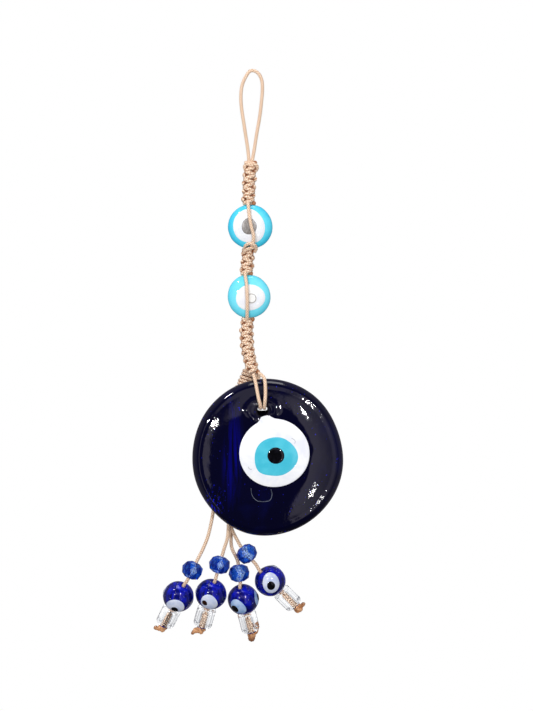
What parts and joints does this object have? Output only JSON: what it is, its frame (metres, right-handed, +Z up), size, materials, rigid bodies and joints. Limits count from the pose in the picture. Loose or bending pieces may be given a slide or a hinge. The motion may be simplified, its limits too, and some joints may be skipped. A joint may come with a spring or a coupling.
{
  "type": "evil eye hanging ornament",
  "caption": "Knotted waxed cord hanging ornament with flat eye beads, a cobalt glass disc with a white, light blue and black eye, and cord ends carrying crystals, eye beads and clear tubes.",
  "frame": {"origin": "inside top of the hanging loop, where a nail or hook bears", "axes": "+Z up along the hanging cord, +X to the right as seen from the front, +Y to the back; the eye faces -Y"},
  "size_m": [0.0604, 0.0258, 0.1841],
  "materials": {
    "waxed_cord": "waxed braided polyester, satin sheen",
    "melted_cord": "knotted cord with heat-melted ends",
    "cobalt_glass": "polished hand-pressed cobalt glass with streaks",
    "white_glass": "opaque white glass, fire polished",
    "sky_glass": "opaque light blue glass, fire polished",
    "black_glass": "opaque black glass, fire polished",
    "turquoise_glass": "opaque turquoise glass, fire polished",
    "silver_spot": "grey glass, fire polished",
    "pearl_spot": "translucent white glass, fire polished",
    "blue_crystal": "cut and polished transparent blue glass",
    "bead_glass": "lampworked cobalt glass, fire polished",
    "clear_glass": "transparent colourless glass"
  },
  "bodies": {
    "hanger": {"hanging_loop": "waxed_cord"},
    "upper_chain": {"upper_sinnet": "waxed_cord", "upper_core_cords": "waxed_cord", "upper_front_strand": "waxed_cord", "upper_back_strand": "waxed_cord"},
    "first_bead": {"first_bead_glass": "turquoise_glass", "first_bead_white": "white_glass", "first_bead_pupil": "silver_spot"},
    "middle_chain": {"middle_sinnet": "waxed_cord", "lower_core_cords": "waxed_cord", "lower_front_strand": "waxed_cord", "lower_back_strand": "waxed_cord"},
    "second_bead": {"second_bead_glass": "turquoise_glass", "second_bead_white": "white_glass", "second_bead_pupil": "pearl_spot"},
    "lower_chain": {"lower_sinnet": "waxed_cord", "hole_strand_left": "waxed_cord", "hole_strand_right": "waxed_cord", "back_strands": "waxed_cord", "gathering_wrap": "waxed_cord", "cords_behind_disc": "waxed_cord"},
    "disc": {"disc_glass": "cobalt_glass", "disc_white": "white_glass", "disc_iris": "sky_glass", "disc_pupil": "black_glass"},
    "tail_1": {"tail_cord_1": "waxed_cord", "end_knot_1": "melted_cord"},
    "crystal_1": {"crystal_1": "blue_crystal"},
    "eye_bead_1": {"eye_bead_1": "bead_glass", "eye_spots_1": "white_glass", "eye_pupils_1": "black_glass"},
    "tube_bead_1": {"tube_bead_1": "clear_glass"},
    "tail_2": {"tail_cord_2": "waxed_cord", "end_knot_2": "melted_cord"},
    "crystal_2": {"crystal_2": "blue_crystal"},
    "eye_bead_2": {"eye_bead_2": "bead_glass", "eye_spots_2": "white_glass", "eye_pupils_2": "black_glass"},
    "tube_bead_2": {"tube_bead_2": "clear_glass"},
    "tail_3": {"tail_cord_3": "waxed_cord", "end_knot_3": "melted_cord"},
    "crystal_3": {"crystal_3": "blue_crystal"},
    "eye_bead_3": {"eye_bead_3": "bead_glass", "eye_spots_3": "white_glass", "eye_pupils_3": "black_glass"},
    "tube_bead_3": {"tube_bead_3": "clear_glass"},
    "tail_4": {"tail_cord_4": "waxed_cord", "end_knot_4": "melted_cord"},
    "crystal_4": {"crystal_4": "blue_crystal"},
    "eye_bead_4": {"eye_bead_4": "bead_glass", "eye_spots_4": "white_glass", "eye_pupils_4": "black_glass"},
    "tube_bead_4": {"tube_bead_4": "clear_glass"}
  },
  "joints": [
    {"name": "loop_bend", "type": "hinge", "parent": "hanger", "child": "upper_chain", "pos_m": [-0.0009, 0, -0.03095], "axis": [0, 1, 0], "range_deg": [-20, 20]},
    {"name": "first_bead_swivel", "type": "hinge", "parent": "upper_chain", "child": "first_bead", "pos_m": [-0.0009, 0, -0.0493], "axis": [0, 0, 1], "range_deg": [-8, 8]},
    {"name": "middle_bend", "type": "hinge", "parent": "upper_chain", "child": "middle_chain", "pos_m": [-0.0016, 0, -0.05885], "axis": [0, 1, 0], "range_deg": [-15, 15]},
    {"name": "second_bead_swivel", "type": "hinge", "parent": "middle_chain", "child": "second_bead", "pos_m": [-0.0013, 0, -0.0716], "axis": [0, 0, 1], "range_deg": [-8, 8]},
    {"name": "lower_bend", "type": "hinge", "parent": "middle_chain", "child": "lower_chain", "pos_m": [-0.0019, 0, -0.08095], "axis": [0, 1, 0], "range_deg": [-15, 15]},
    {"name": "disc_swing", "type": "hinge", "parent": "lower_chain", "child": "disc", "pos_m": [0.003, 0, -0.10825], "axis": [0, 1, 0], "range_deg": [-12, 12]},
    {"name": "tail_swing_1", "type": "hinge", "parent": "lower_chain", "child": "tail_1", "pos_m": [-0.013, 0.0045, -0.14185], "axis": [1, 0, 0], "range_deg": [0, 30]},
    {"name": "crystal_slide_1", "type": "slide", "parent": "tail_1", "child": "crystal_1", "axis": [0.4472, 0, 0.8944], "range_m": [-0.001, 0.004]},
    {"name": "eye_bead_spin_1", "type": "hinge", "parent": "tail_1", "child": "eye_bead_1", "pos_m": [-0.024, 0.0085, -0.16785], "axis": [-0.3714, 0.5571, -0.7428], "continuous": true},
    {"name": "tube_bead_spin_1", "type": "hinge", "parent": "tail_1", "child": "tube_bead_1", "pos_m": [-0.02718, 0.01326, -0.1742], "axis": [-0.3714, 0.5571, -0.7428], "continuous": true},
    {"name": "tail_swing_2", "type": "hinge", "parent": "lower_chain", "child": "tail_2", "pos_m": [-0.008, 0.0045, -0.14685], "axis": [1, 0, 0], "range_deg": [0, 30]},
    {"name": "crystal_slide_2", "type": "slide", "parent": "tail_2", "child": "crystal_2", "axis": [0.2747, 0, 0.9615], "range_m": [-0.001, 0.002]},
    {"name": "eye_bead_spin_2", "type": "hinge", "parent": "tail_2", "child": "eye_bead_2", "pos_m": [-0.0135, 0.008, -0.1671], "axis": [-0.2408, 0.4815, -0.8427], "continuous": true},
    {"name": "tube_bead_spin_2", "type": "hinge", "parent": "tail_2", "child": "tube_bead_2", "pos_m": [-0.01556, 0.01212, -0.1743], "axis": [-0.2408, 0.4815, -0.8427], "continuous": true},
    {"name": "tail_swing_3", "type": "hinge", "parent": "lower_chain", "child": "tail_3", "pos_m": [-0.007, 0.008, -0.14685], "axis": [1, 0, 0], "range_deg": [0, 30]},
    {"name": "crystal_spin_3", "type": "hinge", "parent": "tail_3", "child": "crystal_3", "pos_m": [-0.0045, 0.008, -0.16035], "axis": [0.124, 0, -0.9923], "continuous": true},
    {"name": "eye_bead_spin_3", "type": "hinge", "parent": "tail_3", "child": "eye_bead_3", "pos_m": [-0.00325, 0.0105, -0.16885], "axis": [0.2074, 0.5185, -0.8296], "continuous": true},
    {"name": "tube_bead_spin_3", "type": "hinge", "parent": "tail_3", "child": "tube_bead_3", "pos_m": [-0.00148, 0.01493, -0.17594], "axis": [0.2074, 0.5185, -0.8296], "continuous": true},
    {"name": "tail_swing_4", "type": "hinge", "parent": "lower_chain", "child": "tail_4", "pos_m": [-0.0072, 0.0059, -0.14485], "axis": [1, 0, 0], "range_deg": [0, 30]},
    {"name": "crystal_slide_4", "type": "slide", "parent": "tail_4", "child": "crystal_4", "axis": [-0.6402, 0, 0.7682], "range_m": [-0.0018, 0]},
    {"name": "eye_bead_spin_4", "type": "hinge", "parent": "tail_4", "child": "eye_bead_4", "pos_m": [0.0055, 0.0075, -0.16285], "axis": [0.6509, 0.3906, -0.6509], "continuous": true},
    {"name": "tube_bead_spin_4", "type": "hinge", "parent": "tail_4", "child": "tube_bead_4", "pos_m": [0.01107, 0.01084, -0.16842], "axis": [0.6509, 0.3906, -0.6509], "continuous": true}
  ]
}
